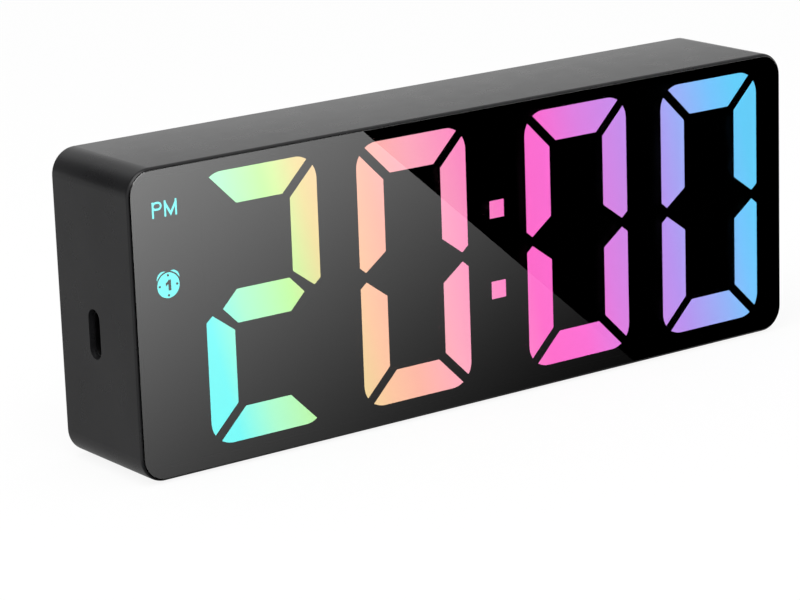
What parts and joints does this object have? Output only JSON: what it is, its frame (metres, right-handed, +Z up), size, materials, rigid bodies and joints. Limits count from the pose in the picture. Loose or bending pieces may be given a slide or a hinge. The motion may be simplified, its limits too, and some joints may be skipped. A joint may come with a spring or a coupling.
{
  "type": "digital led desk clock",
  "caption": "Slim rounded desk clock with a smoked front lens over lit seven-segment digits, a USB-C inlet in its side, and buttons and a hinged battery door in its back.",
  "frame": {"origin": "centre of the footprint, on the surface that the clock stands on", "axes": "+X along the length, towards the end without the USB inlet; +Y from the display to the back; +Z up"},
  "size_m": [0.16, 0.027, 0.06],
  "materials": {
    "case_black": "satin",
    "button_black": "satin",
    "lens_smoked": "polished",
    "tape_black": "matte",
    "mask_black": "matte",
    "hour_tens_light": "lit",
    "hour_units_light": "lit",
    "minute_tens_light": "lit",
    "minute_units_light": "lit",
    "colon_light": "lit",
    "legend_light": "lit",
    "film_clear": "printed",
    "reflector_white": "bright",
    "board_green": "solder mask",
    "led_white": "frosted",
    "chip_black": "matte",
    "crystal_steel": "plain",
    "capacitor_can": "plain",
    "buzzer_black": "matte",
    "usb_steel": "dark nickel",
    "usb_black": "matte",
    "contact_nickel": "nickel plate",
    "spring_steel": "nickel plate",
    "lead_black": "insulated",
    "lead_red": "insulated",
    "screw_steel": "black zinc",
    "switch_black": "matte",
    "plunger_grey": "matte",
    "pad_rubber": "matte"
  },
  "bodies": {
    "case": {"case_shell": "case_black", "back_cover": "case_black", "front_lens": "lens_smoked", "lens_tape": "tape_black", "display_mask": "mask_black", "hour_tens_inserts": "hour_tens_light", "hour_units_inserts": "hour_units_light", "minute_tens_inserts": "minute_tens_light", "minute_units_inserts": "minute_units_light", "colon_inserts": "colon_light", "pm_inserts": "legend_light", "alarm_inserts": "legend_light", "colour_film": "film_clear", "reflector": "reflector_white", "main_board": "board_green", "key_board": "board_green", "segment_leds": "led_white", "clock_chip": "chip_black", "driver_chip": "chip_black", "chip_resistors": "chip_black", "board_header": "chip_black", "quartz_crystal": "crystal_steel", "supply_capacitor": "capacitor_can", "buzzer": "buzzer_black", "usb_shell": "usb_steel", "usb_insulator": "usb_black", "negative_contact": "contact_nickel", "positive_contact": "contact_nickel", "left_link_contact": "contact_nickel", "right_link_contact": "contact_nickel", "battery_spring_1": "spring_steel", "battery_spring_2": "spring_steel", "battery_spring_3": "spring_steel", "negative_lead": "lead_black", "positive_lead": "lead_red", "case_screws": "screw_steel", "board_screws": "screw_steel", "key_board_screws": "screw_steel", "mode_switch": "switch_black", "set_switch": "switch_black", "up_switch": "switch_black", "down_switch": "switch_black", "foot_pad_1": "pad_rubber", "foot_pad_2": "pad_rubber", "foot_pad_3": "pad_rubber", "foot_pad_4": "pad_rubber"},
    "mode_button": {"mode_button": "button_black", "mode_plunger": "plunger_grey"},
    "set_button": {"set_button": "button_black", "set_plunger": "plunger_grey"},
    "up_button": {"up_button": "button_black", "up_plunger": "plunger_grey"},
    "down_button": {"down_button": "button_black", "down_plunger": "plunger_grey"},
    "battery_door": {"battery_door": "case_black"}
  },
  "joints": [
    {"name": "mode_press", "type": "slide", "parent": "case", "child": "mode_button", "axis": [0, -1, 0], "range_m": [0, 0.0005], "stiffness_N_per_m": 1500},
    {"name": "set_press", "type": "slide", "parent": "case", "child": "set_button", "axis": [0, -1, 0], "range_m": [0, 0.0005], "stiffness_N_per_m": 1500},
    {"name": "up_press", "type": "slide", "parent": "case", "child": "up_button", "axis": [0, -1, 0], "range_m": [0, 0.0005], "stiffness_N_per_m": 1500},
    {"name": "down_press", "type": "slide", "parent": "case", "child": "down_button", "axis": [0, -1, 0], "range_m": [0, 0.0005], "stiffness_N_per_m": 1500},
    {"name": "battery_door_hinge", "type": "hinge", "parent": "case", "child": "battery_door", "pos_m": [0.01605, 0.0125, 0.0302], "axis": [0, 0, 1], "range_deg": [0, 95]}
  ]
}
